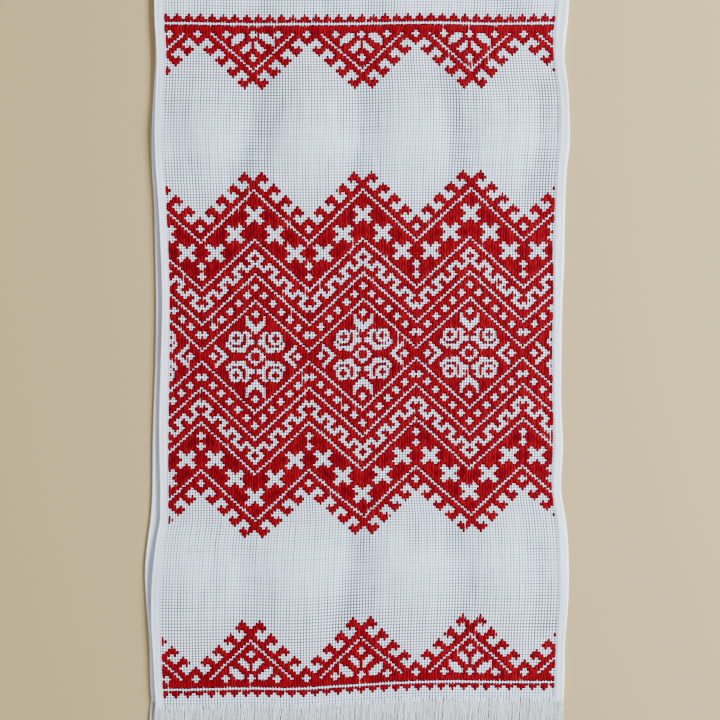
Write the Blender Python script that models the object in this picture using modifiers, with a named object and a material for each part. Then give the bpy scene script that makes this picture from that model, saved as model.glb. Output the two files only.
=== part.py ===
"""Rushnyk: an embroidered ritual towel, folded across in half and laid flat, face up.

Blender 4.5, metres, +Z up. +X runs across the towel to the right, +Y runs from the fringed ends to
the fold, and the origin lies on the surface under the middle of the towel.

The cloth is one sheet. Its under layer lies flat, turns back at a soft fold, and the upper layer
lies on it a little apart, raised here and there into the pillows that the stitching draws up. Each
end carries a fringe of four-sided strands, fused at their roots into a narrow strip.
"""

import random

import bmesh
import bpy
import numpy as np

MM = 0.001

# Cloth: a hem is turned along each long side, so it is thicker than the ground.
GROUND_THICKNESS = 1.1 * MM
HEM_THICKNESS = 1.6 * MM
HEM_WIDTH = 9.0 * MM
HEM_STEP = 1.0 * MM
LAYER_GAP = 0.5 * MM

# Lie of the folded cloth.
FOLD_Y = 375.0 * MM
FOLD_RADIUS = 2.0 * MM
FOLD_STEPS = 8
FOLD_RISE_LENGTH = 45.0 * MM
UPPER_END_Y = -315.0 * MM
UNDER_END_Y = -309.0 * MM
UPPER_REST_Z = HEM_THICKNESS + LAYER_GAP

# The threads across the cloth run level at the top stitched border and sink to the left below it.
TILT_DROP = 7.6 * MM
TILT_TOP_Y = 255.0 * MM
TILT_HALF_REACH = 100.0 * MM

# Outline, in millimetres: the upper layer's left edge, the width of the cloth, which the dense
# middle band draws in, and how far the under layer lies to the left of the upper one.
OUTLINE_COLUMNS = ("y", "left", "width", "shift")
OUTLINE = np.array((
    (-320, -171.3, 346.4, 2.4),
    (-298, -172.0, 348.3, 3.3),
    (-264, -173.0, 350.5, 3.5),
    (-230, -172.8, 352.2, 6.2),
    (-203, -171.8, 351.2, 7.6),
    (-176, -169.4, 347.9, 8.1),
    (-161, -166.9, 343.8, 8.7),
    (-146, -166.7, 341.4, 7.5),
    (-95, -167.1, 341.8, 5.3),
    (-28, -165.5, 339.6, 5.4),
    (23, -164.9, 339.9, 4.5),
    (74, -166.4, 341.4, 4.5),
    (108, -168.1, 344.2, 4.1),
    (133, -169.8, 347.2, 4.0),
    (158, -170.9, 350.2, 3.7),
    (192, -170.4, 349.6, 2.6),
    (226, -169.2, 344.8, 2.1),
    (258, -170.5, 348.4, 0.0),
    (276, -170.7, 350.0, 0.0),
    (376, -171.5, 349.0, 0.0),
))

# Rows of the mesh on each layer, counted between these stations, which lie closest together where
# the cloth is raised.
UPPER_ZONES_COLUMNS = ("to_y", "rows")
UPPER_ZONES = ((-262, 4), (-162, 12), (118, 15), (212, 12), (322, 6), (372, 6))
UNDER_ROWS = 24
COLUMNS_BETWEEN_HEMS = 20

# Pillows of the upper layer between the stitched bands, in millimetres: the middle, the reach to
# each side and the height of each.
PILLOW_COLUMNS = ("x", "y", "reach_x", "reach_y", "height")
PILLOWS = np.array((
    (-128, 165, 48, 46, 2.2),
    (-35, 165, 50, 46, 2.7),
    (51, 165, 46, 46, 2.5),
    (134, 165, 46, 46, 2.1),
    (-136, -212, 44, 46, 2.0),
    (-48, -212, 54, 48, 2.8),
    (50, -212, 50, 46, 2.6),
    (130, -212, 44, 46, 2.2),
    (-20, 310, 150, 45, 0.8),
))

# Fringes: strips of fused roots, parted from the cloth's end, and the strands on them.
STRANDS_PER_END = 110
PART_GAP = 0.3 * MM
STRIP_LENGTH = 4.0 * MM
FRINGE_TIP_Y = -375.0 * MM
UNDER_TIP_Y = -369.0 * MM
STRAND_HEIGHT = 0.8 * MM
UPPER_STRAND_LIE_Z = GROUND_THICKNESS + PART_GAP
TIP_RAGGEDNESS = 4.0 * MM
STRAND_WANDER = 0.35 * MM
FAN_SWAY = 2.0 * MM
FAN_WAVES = 2.5
# How far along a strand each of its sections lies, and how wide the strand is there.
STRAND_SECTION_COLUMNS = ("along", "width")
STRAND_SECTIONS = ((0.30, 1.35), (1.00, 0.90))


def make_material(name, colour, roughness):
    """A plain woven-cotton material."""
    material = bpy.data.materials.new(name)
    material.use_nodes = True
    shader = material.node_tree.nodes["Principled BSDF"]
    shader.inputs["Base Color"].default_value = (*colour, 1.0)
    shader.inputs["Roughness"].default_value = roughness
    shader.inputs["Metallic"].default_value = 0.0
    return material


def outline(column, y):
    """A column of the outline at y, as a smooth curve through the table's rows."""
    stations = OUTLINE[:, 0] * MM
    values = OUTLINE[:, OUTLINE_COLUMNS.index(column)] * MM
    slopes = np.gradient(values, stations)
    k = int(np.clip(np.searchsorted(stations, y) - 1, 0, len(stations) - 2))
    span = stations[k + 1] - stations[k]
    t = min(max((y - stations[k]) / span, 0.0), 1.0)
    rise = values[k + 1] - values[k]
    start = slopes[k] * span - rise
    end = rise - slopes[k + 1] * span
    return values[k] + t * rise + t * (1 - t) * ((1 - t) * start + t * end)


def smooth_step(t):
    """0 below 0, 1 above 1, and a soft step between."""
    t = min(max(t, 0.0), 1.0)
    return t * t * (3.0 - 2.0 * t)


def tilt(x, y):
    """How far a cross thread has moved along the cloth at x: down on the left, up on the right."""
    depth = min(max((TILT_TOP_Y - y) / (TILT_TOP_Y - UPPER_END_Y), 0.0), 1.0)
    side = smooth_step((x + TILT_HALF_REACH) / (2.0 * TILT_HALF_REACH))
    return TILT_DROP * depth * (side - 0.5)


def pillow_height(x, y):
    """The lift of the upper layer at a point: a rounded bump for each pillow."""
    lift = 0.0
    for pillow_x, pillow_y, reach_x, reach_y, height in PILLOWS * MM:
        away = np.hypot((x - pillow_x) / reach_x, (y - pillow_y) / reach_y)
        if away < 1.0:
            lift += height * (0.5 + 0.5 * np.cos(np.pi * away))
    return lift


def section_rows():
    """Stations along the cloth from its hidden end, round the fold, to its end on top.

    Each is (layer, y, z), with z the underside's height before any pillow.
    """
    fold_start = FOLD_Y - FOLD_RADIUS - HEM_THICKNESS / 2
    rows = [("under", y, 0.0) for y in np.linspace(UNDER_END_Y, fold_start, UNDER_ROWS + 1)]
    for step in range(1, FOLD_STEPS):
        angle = np.pi * step / FOLD_STEPS
        lift = FOLD_RADIUS * (1.0 - np.cos(angle))
        rows.append(("fold", fold_start + FOLD_RADIUS * np.sin(angle), lift))
    stations = [UPPER_END_Y]
    for to_y, count in UPPER_ZONES:
        end = min(to_y * MM, fold_start)
        stations += list(np.linspace(stations[-1], end, count + 1)[1:])
    stations[-1] = fold_start
    for y in reversed(stations):
        near_fold = smooth_step(1.0 - (fold_start - y) / FOLD_RISE_LENGTH)
        z = UPPER_REST_Z + (2.0 * FOLD_RADIUS - UPPER_REST_Z) * near_fold
        rows.append(("upper", y, z))
    return rows


def column_offsets(width):
    """Distances across the cloth from its left edge, with the hems' inner edges among them."""
    inner = HEM_WIDTH + HEM_STEP
    ground = np.linspace(inner, width - inner, COLUMNS_BETWEEN_HEMS + 1)
    return np.concatenate(([0.0, HEM_WIDTH], ground, [width - HEM_WIDTH, width]))


def build_cloth():
    """The folded sheet: a grid laid along the section, made solid."""
    rows = section_rows()
    columns = COLUMNS_BETWEEN_HEMS + 4
    last = len(rows) - 1
    mesh = bpy.data.meshes.new("cloth")
    bm = bmesh.new()
    bmesh.ops.create_grid(bm, x_segments=columns, y_segments=last, size=0.5)
    hem_vertices = []
    for vertex in bm.verts:
        column = round((vertex.co.x + 0.5) * columns)
        layer, y, z = rows[round((vertex.co.y + 0.5) * last)]
        in_hem = column < 2 or column > columns - 2
        thickness = HEM_THICKNESS if in_hem else GROUND_THICKNESS
        width = outline("width", y)
        x = outline("left", y) + column_offsets(width)[column]
        z += thickness / 2
        if layer == "under":
            x -= outline("shift", y)
        if layer == "upper":
            z += pillow_height(x, y)
            y += tilt(x, y)
        vertex.co = (x, y, z)
        if in_hem:
            hem_vertices.append(vertex.index)
    bm.to_mesh(mesh)
    bm.free()
    cloth = bpy.data.objects.new("cloth", mesh)
    hems = cloth.vertex_groups.new(name="hems")
    hems.add(hem_vertices, 1.0, "REPLACE")
    solidify = cloth.modifiers.new("thickness", "SOLIDIFY")
    solidify.thickness = HEM_THICKNESS
    solidify.offset = 0.0
    solidify.vertex_group = hems.name
    solidify.thickness_vertex_group = GROUND_THICKNESS / HEM_THICKNESS
    return cloth


def strand_route(root, tip, lie_z):
    """Middle of a strand's underside, and its width, at each of its sections: it sinks from its
    root to where it lies, and stays level from there to its tip."""
    route = []
    for along, width in STRAND_SECTIONS:
        x = root.x + (tip[0] - root.x) * along
        y = root.y + (tip[1] - root.y) * along
        route.append((x, y, lie_z, width * MM))
    return route


def by_place(face):
    """Sort key that orders faces across the towel."""
    return face.calc_center_median().x


def build_fringe(name, layer, end_y, strip_z, lie_z, tip_y, seed):
    """A strip of fused roots along one end of the cloth, and its strands."""
    chance = random.Random(seed)
    cells = 2 * STRANDS_PER_END - 1
    left = outline("left", end_y)
    if layer == "under":
        left -= outline("shift", end_y)
    width = outline("width", end_y)
    mesh = bpy.data.meshes.new(name)
    bm = bmesh.new()
    bmesh.ops.create_grid(bm, x_segments=cells, y_segments=1, size=0.5)
    for vertex in bm.verts:
        x = left + width * (vertex.co.x + 0.5)
        y = end_y - PART_GAP
        if vertex.co.y < 0.0:
            y -= STRIP_LENGTH
        if layer == "upper":
            y += tilt(x, end_y)
        vertex.co = (x, y, strip_z)
    raised = bmesh.ops.extrude_face_region(bm, geom=bm.faces[:])["geom"]
    for vertex in raised:
        if isinstance(vertex, bmesh.types.BMVert):
            vertex.co.z += GROUND_THICKNESS
    bmesh.ops.recalc_face_normals(bm, faces=bm.faces[:])
    front = [face for face in bm.faces if face.normal.y < -0.5]
    ends = sorted(front, key=by_place)[::2]
    routes = []
    for face in ends:
        root = face.calc_center_median()
        fan = FAN_SWAY * np.sin(2.0 * np.pi * FAN_WAVES * (root.x - left) / width)
        tip_x = root.x + fan + STRAND_WANDER * chance.uniform(-1.0, 1.0)
        routes.append(strand_route(root, (tip_x, tip_y + TIP_RAGGEDNESS * chance.random()), lie_z))
    for section in range(len(STRAND_SECTIONS)):
        ends = bmesh.ops.extrude_discrete_faces(bm, faces=ends)["faces"]
        ends.sort(key=by_place)
        for face, route in zip(ends, routes):
            middle = face.calc_center_median()
            x, y, z, strand_width = route[section]
            for vertex in face.verts:
                side = 0.5 if vertex.co.x > middle.x else -0.5
                height = STRAND_HEIGHT if vertex.co.z > middle.z else 0.0
                vertex.co = (x + side * strand_width, y, z + height)
    bm.to_mesh(mesh)
    bm.free()
    return bpy.data.objects.new(name, mesh)


def main():
    for thing in list(bpy.data.objects):
        bpy.data.objects.remove(thing, do_unlink=True)
    collection = bpy.data.collections.new("rushnyk_towel")
    bpy.context.scene.collection.children.link(collection)

    pieces = (
        (build_cloth(), make_material("white_cotton_canvas", (0.74, 0.77, 0.80), 0.85)),
        (
            build_fringe("fringe_upper", "upper", UPPER_END_Y, UPPER_REST_Z, UPPER_STRAND_LIE_Z,
                         FRINGE_TIP_Y, seed=3),
            make_material("upper_fringe_cotton", (0.66, 0.67, 0.68), 0.9),
        ),
        (
            build_fringe("fringe_under", "under", UNDER_END_Y, 0.0, 0.0, UNDER_TIP_Y, seed=5),
            make_material("under_fringe_cotton", (0.64, 0.65, 0.66), 0.9),
        ),
    )
    for piece, material in pieces:
        piece.data.materials.append(material)
        collection.objects.link(piece)


main()
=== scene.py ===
# %% [markdown]
# # A rushnyk: an embroidered ritual towel, folded in half and laid flat
#
# A rushnyk is a long white towel with stitched bands at its ends. This one is woven as an
# open canvas with a grid of holes, and it is darned in red: each stitch is a straight float
# of yarn that runs up a column of holes, dives into the cloth and comes up further on. The
# towel lies folded across its middle, so one end is on top and the other is under it.
#
# The plan is to work out where every thread crossing lies, as one function of a column and a
# row of the weave. The cloth, the red floats and the fringes then all read that function, so
# the stitches sit in their holes wherever the cloth swells or draws in.

import bpy
import numpy as np
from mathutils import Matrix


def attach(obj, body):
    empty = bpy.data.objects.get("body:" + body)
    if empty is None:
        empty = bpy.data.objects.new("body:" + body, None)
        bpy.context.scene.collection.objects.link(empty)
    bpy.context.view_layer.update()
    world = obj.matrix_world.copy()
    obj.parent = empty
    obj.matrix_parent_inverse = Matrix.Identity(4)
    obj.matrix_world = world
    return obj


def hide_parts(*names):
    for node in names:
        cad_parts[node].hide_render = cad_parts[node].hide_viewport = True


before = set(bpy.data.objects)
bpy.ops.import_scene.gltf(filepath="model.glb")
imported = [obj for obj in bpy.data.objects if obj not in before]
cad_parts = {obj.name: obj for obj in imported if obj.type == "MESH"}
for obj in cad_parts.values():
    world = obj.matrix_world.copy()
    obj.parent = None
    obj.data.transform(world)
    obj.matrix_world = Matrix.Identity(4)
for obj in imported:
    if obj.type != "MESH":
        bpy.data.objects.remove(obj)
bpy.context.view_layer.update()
MM = 0.001

# %% [markdown]
# ## Columns of the weave
#
# A maker finds a place on such a cloth by counting threads, so every place here is a column and
# a row of the weave. Columns 0 to 136 are the stitched ground, and the turned hems lie outside
# them. A hem is thicker than the ground, most of all in its outer third, where the edge is
# rolled over once more.

# %% Columns, hems and thickness
COLUMNS = 136
HEM_COLUMNS = 3.7
# Where the turn and the roll of a hem begin, in columns outside the ground, and how wide the
# step up to them is.
TURN_STEP = (-0.05, 0.3)
ROLL_STEP = (2.4, 0.5)
GROUND_THICKNESS = 1.1 * MM
HEM_THICKNESS = 1.6 * MM


def smooth_step(t):
    """0 below 0, 1 above 1, and the soft step 3t^2 - 2t^3 between."""
    t = np.clip(t, 0.0, 1.0)
    return t * t * (3.0 - 2.0 * t)


def outside_ground(column):
    """How many columns a place lies outside the ground, and less than 0 in it."""
    return np.abs(column - COLUMNS / 2) - COLUMNS / 2


def hem_share(column):
    """1 in the hems, 0 in the ground, with a narrow step at the turned edge."""
    return smooth_step((outside_ground(column) - TURN_STEP[0]) / TURN_STEP[1])


def roll_share(column):
    """1 in the outer third of the hems, where the turned edge is rolled over once more."""
    return smooth_step((outside_ground(column) - ROLL_STEP[0]) / ROLL_STEP[1])


def within_hems(column):
    """1 in the ground, falling to 0 at the outer edges of the hems."""
    return 1.0 - np.clip(outside_ground(column) / HEM_COLUMNS, 0.0, 1.0)


def thickness(column):
    """The ground's thickness, half of the hem's extra where it is turned, all of it in the roll."""
    doubled = hem_share(column) * (0.5 + 0.5 * roll_share(column))
    return GROUND_THICKNESS + (HEM_THICKNESS - GROUND_THICKNESS) * doubled


places = np.array((COLUMNS / 2, COLUMNS + 1.0, COLUMNS + HEM_COLUMNS))
print("thickness in the ground, a hem and its roll, mm:", thickness(places) / MM)

# %% [markdown]
# ## Rows of the weave
#
# Stitching packs the cross threads closer together, so the rows are not evenly spaced. A maker
# would measure where a few of them lie. A smooth curve runs through these stations, because
# straight runs between them would show as sudden changes of the mesh.

# %% Where the rows lie
# Each station is a row, and how far along the towel it lies (mm).
ROWS = np.array((
    (-7.5, -318.6),
    (-3, -307.8),
    (0, -302.0),
    (9, -281.9),
    (18, -261.8),
    (24, -245.7),
    (54, -171.5),
    (69, -138.5),
    (84, -105.6),
    (105, -58.7),
    (121, -23.3),
    (137, 12.2),
    (188, 127.6),
    (218, 202.0),
    (224, 216.2),
    (242, 255.8),
    (289, 372.2),
))
FIRST_ROW = ROWS[0, 0]


def through(stations, values, at):
    """A smooth curve through (stations, values), read at the places in at.

    Each span is a cubic that meets both of its stations with the slope of the table there.
    """
    slopes = np.gradient(values, stations)
    k = np.clip(np.searchsorted(stations, at) - 1, 0, len(stations) - 2)
    span = stations[k + 1] - stations[k]
    t = np.clip((at - stations[k]) / span, 0.0, 1.0)
    rise = values[k + 1] - values[k]
    start = slopes[k] * span - rise
    end = rise - slopes[k + 1] * span
    return values[k] + t * rise + t * (1 - t) * ((1 - t) * start + t * end)


def row_y(row):
    """How far along the towel a row of the weave lies, in metres."""
    return through(ROWS[:, 0], ROWS[:, 1] * MM, row)


print("row pitch, mm:", np.diff(ROWS[:, 1]) / np.diff(ROWS[:, 0]))

# %% [markdown]
# ## The sides
#
# The side edges of a handmade towel wander: the dense middle band draws the cloth in, and the
# bare bands beside it spread. A table of stations gives the left edge, the width between the
# edges, and how far the under layer is shifted to the left, where it peeks out.

# %% Stations along the sides
OUTLINE_COLUMNS = ("y", "left", "width", "shift")
OUTLINE = np.array((
    (-320, -171.3, 346.4, 1.2),
    (-298, -172.0, 348.3, 1.9),
    (-264, -173.0, 350.5, 1.7),
    (-230, -172.8, 352.2, 4.6),
    (-203, -171.8, 351.2, 6.6),
    (-176, -169.4, 347.9, 6.2),
    (-161, -166.9, 343.8, 6.6),
    (-146, -166.7, 341.4, 5.8),
    (-95, -167.1, 341.8, 4.7),
    (-28, -165.5, 339.6, 4.1),
    (23, -164.9, 339.9, 4.1),
    (74, -166.4, 341.4, 3.5),
    (108, -168.1, 344.2, 2.6),
    (133, -169.8, 347.2, 2.6),
    (158, -170.9, 350.2, 1.9),
    (192, -170.4, 349.6, 1.0),
    (226, -169.2, 344.8, 0.2),
    (258, -170.5, 348.4, -0.6),
    (276, -170.7, 350.0, -0.5),
    (376, -171.5, 349.0, 0.0),
))
HEM_WIDTH = 9.0 * MM
# Towards the fold the right hem is a little wider.
WIDE_HEM = 2.0 * MM
WIDE_HEM_FROM_Y = 215.0 * MM
WIDE_HEM_REACH = 35.0 * MM


def outline(column, y):
    """A column of the outline table, in metres, at the places y."""
    values = OUTLINE[:, OUTLINE_COLUMNS.index(column)] * MM
    return through(OUTLINE[:, 0] * MM, values, y)


def across(column, width, wide_hem=0.0):
    """Distance from the left edge: the hems have their own widths, the ground shares the rest."""
    right = HEM_WIDTH + wide_hem
    ground = HEM_WIDTH + column * (width - HEM_WIDTH - right) / COLUMNS
    left_hem = HEM_WIDTH + column * HEM_WIDTH / HEM_COLUMNS
    right_hem = width - right + (column - COLUMNS) * right / HEM_COLUMNS
    return np.where(column < 0, left_hem, np.where(column > COLUMNS, right_hem, ground))


print("width over the hems, mm:", OUTLINE[:, 2].min(), "to", OUTLINE[:, 2].max())

# %% [markdown]
# ## Wandering threads
#
# A straight grid would look machine made. In real cloth the columns drift sideways and the rows
# drift along, each thread much as its neighbours do. Noise would give some drift, but not this
# one, so a few stations across and along the upper layer hold how far the threads have moved
# there, and smooth curves join them.

# %% Drift of the threads
WANDER_ACROSS = np.array((-145, -118, -91, -56, -10, 30, 71, 111, 152)) * MM
WANDER_ALONG = np.array((-285, -155, -105, 30, 115, 245)) * MM
# How far the columns have drifted to the right and the rows up (mm): a line for each station
# along, and in it a value for each station across.
COLUMN_DRIFT = np.array((
    (0.0, 0.8, 0.7, 0.8, 0.9, 0.9, 0.4, -0.1, 0.0),
    (-0.7, -0.5, -0.2, 0.4, 0.4, 0.7, 0.2, 0.1, -0.3),
    (-0.1, 0.2, 0.4, 0.7, 0.6, 0.7, 0.4, 0.3, 0.3),
    (-1.2, -1.2, -0.9, -0.6, -0.2, -0.2, -0.1, -0.1, 0.1),
    (-1.0, -0.3, -0.2, 0.3, 0.5, 0.6, 0.4, 0.6, 0.3),
    (0.0, 0.2, 0.4, 0.7, 0.9, 1.0, 0.9, 0.5, 0.5),
)) * MM
ROW_DRIFT = np.array((
    (0.0, 0.7, 1.1, -0.3, 0.1, 0.3, 0.0, -0.7, -0.9),
    (0.5, 0.9, -0.1, -0.3, 0.1, 0.2, -0.1, -0.6, -0.4),
    (0.5, 0.7, -0.3, -0.5, 0.2, 0.3, 0.0, -0.3, -0.3),
    (0.9, 0.3, 0.4, -0.4, 0.0, 0.5, 0.1, -0.2, -0.2),
    (0.3, 0.3, 0.4, -0.4, -0.3, 0.4, 0.5, 0.3, 0.4),
    (0.3, -0.1, -0.6, -0.4, -0.2, 0.5, 0.8, -0.2, 0.4),
)) * MM


def drift(table, x, y):
    """Reads a drift table: a smooth curve across for each station, blended along the towel."""
    total = np.zeros(np.broadcast(x, y).shape)
    for station, values in enumerate(table):
        share = np.interp(y, WANDER_ALONG, np.eye(len(table))[station])
        total += share * through(WANDER_ACROSS, values, x)
    return total


print("largest drift, mm:", np.abs(COLUMN_DRIFT).max() / MM, np.abs(ROW_DRIFT).max() / MM)

# %% [markdown]
# The stitched rows slant as well: on the left they have slid towards the fringe, and on the
# right towards the fold, most of all at the towel's end. The outer edges of the hems, which no
# stitch holds, wander by a millimetre or two of their own.

# %% Slant of the rows and wander of the hems
TILT_DROP = 7.6 * MM
TILT_TOP_Y = 255.0 * MM
TILT_HALF_REACH = 100.0 * MM
UPPER_END_Y = -315.0 * MM
# Each station is a y, and how far the left and the right edge have moved to the right (mm).
HEM_WANDER = np.array((
    (-320, 2.6, -0.6),
    (-296, 1.6, -0.8),
    (-270, 1.2, -1.4),
    (-248, 0.0, -0.7),
    (-172, 0.8, -0.5),
    (-137, 1.3, -1.3),
    (-104, 1.0, -0.2),
    (-82, 0.6, -1.2),
    (-28, 0.6, -1.1),
    (28, 1.2, -0.9),
    (52, 1.1, 0.4),
    (100, 0.9, 0.4),
    (133, 0.7, 0.3),
    (150, 0.8, 0.9),
    (183, 0.7, -0.1),
    (217, 0.7, 0.3),
    (240, 0.6, -0.6),
    (268, 0.3, 0.2),
    (376, 0.0, 0.0),
)) * MM


def tilt(x, y):
    """How far a cross thread has slid along the towel: down on the left, up on the right."""
    depth = np.clip((TILT_TOP_Y - y) / (TILT_TOP_Y - UPPER_END_Y), 0.0, 1.0)
    return TILT_DROP * depth * (smooth_step((x / TILT_HALF_REACH + 1.0) / 2.0) - 0.5)


def hem_wander(column, y):
    """Sideways shift of a place in a hem: none at its inner edge, the table's at its outer edge."""
    left, right = (through(HEM_WANDER[:, 0], HEM_WANDER[:, side], y) for side in (1, 2))
    return (1.0 - within_hems(column)) * np.where(column < COLUMNS / 2, left, right)


print("hems wander by up to", np.abs(HEM_WANDER[:, 1:]).max() / MM, "mm")

# %% [markdown]
# ## Domes and creases
#
# Folded cloth could be dropped by a cloth simulation, but this towel was smoothed flat by
# hand, and what is left are a few soft pillows in the bare bands, where the drawn stitches
# have gathered the canvas. They are listed as rounded domes, with creases between.

# %% Domes and creases of the upper layer
# Each dome: its middle x and y, how far it reaches in x and y, and its height (mm).
PILLOWS = np.array((
    (-128, 165, 48, 46, 2.2),
    (-35, 165, 50, 46, 2.7),
    (51, 165, 46, 46, 2.5),
    (134, 165, 46, 46, 2.1),
    (-136, -212, 44, 46, 2.0),
    (-48, -212, 54, 48, 2.8),
    (50, -212, 50, 46, 2.6),
    (130, -212, 44, 46, 2.2),
    (-20, 310, 150, 45, 0.8),
)) * MM
PILLOW_SPREAD = (1.3, 1.15)
PILLOW_SWELL = 1.4
# Each crease: x and y of its two ends, its half width (mm), and a depth in shares.
CREASES = np.array((
    (-69.0, 214.0, -92.0, 124.0, 13.0, 1.3),
    (10.0, 204.0, 4.0, 122.0, 13.0, 0.95),
    (82.0, 214.0, 89.0, 124.0, 12.0, 1.4),
    (-160.0, 196.0, -143.0, 140.0, 13.0, 0.6),
    (161.0, 200.0, 155.0, 110.0, 11.0, 1.25),
    (11.0, -154.0, -7.0, -250.0, 12.0, 1.3),
    (87.0, -168.0, 90.0, -250.0, 13.0, 0.75),
    (-98.0, -164.0, -78.0, -250.0, 16.0, 0.2),
    (-120.0, -170.0, -122.0, -226.0, 10.0, 0.25),
    (154.0, -190.0, 158.0, -250.0, 12.0, 0.95),
    (-66.0, 330.0, -77.0, 258.0, 11.0, 0.9),
    (17.0, 330.0, 21.0, 258.0, 11.0, 0.8),
    (122.0, 330.0, 134.0, 258.0, 12.0, 1.0),
    (-30.0, 340.0, -22.0, 275.0, 9.0, 0.6),
    (148.0, -300.0, 146.0, -318.0, 9.0, 0.4),
)) * np.array((MM, MM, MM, MM, MM, 1.0))
CREASE_DEPTH = 1.7 * MM
LOWEST_LIFT = -0.3 * MM


def creases(x, y):
    """How deep in a crease a place is: the strongest depth * exp(-(distance / width)^2)."""
    deepest = np.zeros_like(x)
    for x0, y0, x1, y1, width, depth in CREASES:
        run_x, run_y = x1 - x0, y1 - y0
        share = ((x - x0) * run_x + (y - y0) * run_y) / (run_x**2 + run_y**2)
        share = np.clip(share, 0.0, 1.0)
        away = np.hypot(x - x0 - share * run_x, y - y0 - share * run_y)
        deepest = np.maximum(deepest, depth * np.exp(-((away / width) ** 2)))
    return deepest


def pillow_height(x, y):
    """Lift of the upper layer: the highest dome at a place, height * cos^2(pi r / 2), less the
    creases that part the domes."""
    spread_x, spread_y = PILLOW_SPREAD
    lift = np.zeros_like(x)
    for pillow_x, pillow_y, reach_x, reach_y, height in PILLOWS:
        r = np.hypot((x - pillow_x) / (spread_x * reach_x), (y - pillow_y) / (spread_y * reach_y))
        dome = PILLOW_SWELL * height * np.cos(np.pi / 2 * np.minimum(r, 1.0)) ** 2
        lift = np.maximum(lift, dome)
    return np.maximum(lift - CREASE_DEPTH * creases(x, y), LOWEST_LIFT)


print("domes:", len(PILLOWS), "creases:", len(CREASES))

# %% [markdown]
# ## The three stretches of the folded cloth
#
# The upper layer rests on the hems of the under one and rises towards the fold, the fold is a
# half circle, and the under layer lies flat. Each stretch is a function that gives the middle
# of the cloth's thickness at any column, and everything else is built from the three of them.
# The rows are counted from the fringe on both layers, up to the fold.

# %% Upper layer
LAYER_GAP = 0.5 * MM
UPPER_REST_Z = HEM_THICKNESS + LAYER_GAP
FOLD_RADIUS = 2.0 * MM
FOLD_START_Y = 372.2 * MM
FOLD_RISE_LENGTH = 45.0 * MM
# The left hem curls up a little, most at the middle of the towel.
EDGE_CURL = 1.1 * MM
LEAST_CURL = 0.2
CURL_MIDDLE_Y = 20.0 * MM
CURL_REACH = 120.0 * MM
# The right hem falls towards the floor where the under layer has shifted away from below it.
EDGE_FALL = 1.4 * MM
FALL_FULL_SHIFT = 6.0 * MM
FALL_FROM = 0.4


def edge_curl(column, y):
    """Lift of the left hem, most at its outer edge and halfway down the towel."""
    along = LEAST_CURL + (1.0 - LEAST_CURL) * np.exp(-(((y - CURL_MIDDLE_Y) / CURL_REACH) ** 2))
    return EDGE_CURL * along * smooth_step(-column / HEM_COLUMNS)


def edge_fall(column, y):
    """How far the right hem falls: most at its outer edge, where the under layer is shifted most."""
    overhang = smooth_step(outline("shift", y) / FALL_FULL_SHIFT)
    beyond = (column - COLUMNS) / HEM_COLUMNS
    return EDGE_FALL * overhang * smooth_step((beyond - FALL_FROM) / (1.0 - FALL_FROM))


def upper_point(column, row):
    """Middle of the upper layer at (column, row): the outline, the rest height, the domes."""
    y = row_y(row)
    wide_hem = WIDE_HEM * smooth_step((y - WIDE_HEM_FROM_Y) / WIDE_HEM_REACH)
    x = outline("left", y) + across(column, outline("width", y), wide_hem)
    x = x + hem_wander(column, y)
    x, y = x + drift(COLUMN_DRIFT, x, y) * within_hems(column), y + drift(ROW_DRIFT, x, y)
    near_fold = smooth_step(1.0 - (FOLD_START_Y - y) / FOLD_RISE_LENGTH)
    z = UPPER_REST_Z + (2.0 * FOLD_RADIUS - UPPER_REST_Z) * near_fold
    z = z + thickness(column) / 2 + pillow_height(x, y) + edge_curl(column, y)
    return x, y + tilt(x, y), z - edge_fall(column, y)


print("middle of the upper layer, m:", [float(part) for part in upper_point(68.0, 121.0)])

# %% Fold and under layer
UNDER_END_SHIFT = 2.0 * MM
UNDER_LIFT = 0.5 * MM


def under_point(column, row):
    """Middle of the under layer at (column, row), which lies flat, a little to the left."""
    y = np.minimum(row_y(row) + UNDER_END_SHIFT, FOLD_START_Y)
    x = outline("left", y) - outline("shift", y) + across(column, outline("width", y))
    return x, y, thickness(column) / 2 + UNDER_LIFT * (1.0 - hem_share(column))


def fold_point(column, turn):
    """The fold: a half circle from the upper layer (turn 0) down to the under one (turn 1)."""
    y = np.full(np.broadcast(column, turn).shape, FOLD_START_Y)
    x = outline("left", y) + across(column, outline("width", y))
    z = thickness(column) / 2 + FOLD_RADIUS * (1.0 + np.cos(np.pi * turn))
    return x, y + FOLD_RADIUS * np.sin(np.pi * turn), z


print("middle of the fold, m:", [float(part) for part in fold_point(68.0, 0.5)])

# %% [markdown]
# ## The cloth
#
# A plane with a Solidify modifier would do for the cloth, but its hems must be thicker than
# its ground and its edges rounded. So the section across the towel is drawn as a closed ring,
# out along the right side of the cloth and back along the wrong side, and that ring is carried
# along the towel, round the fold and back. Two small helpers put any arrays into a mesh.

# %% Meshes from arrays
def mesh_object(name, vertices, faces):
    """A new smooth mesh object from a list of vertices and one of faces, at the origin."""
    mesh = bpy.data.meshes.new(name)
    mesh.from_pydata(vertices, [], faces)
    mesh.polygons.foreach_set("use_smooth", np.ones(len(mesh.polygons), dtype=bool))
    mesh.update()
    piece = bpy.data.objects.new(name, mesh)
    bpy.context.scene.collection.objects.link(piece)
    return piece


def store(piece, name, vectors):
    """Keeps a vector for each vertex in a named attribute."""
    attribute = piece.data.attributes.new(name, "FLOAT_VECTOR", "POINT")
    attribute.data.foreach_set("vector", np.ascontiguousarray(vectors, dtype=np.float32).ravel())


def carry(point, columns, stations):
    """A layer's points on a grid of columns and stations, as an array (station, column, 3)."""
    grid = np.meshgrid(stations, columns, indexing="ij")
    return np.stack(np.broadcast_arrays(*point(grid[1], grid[0])), axis=-1)


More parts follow.
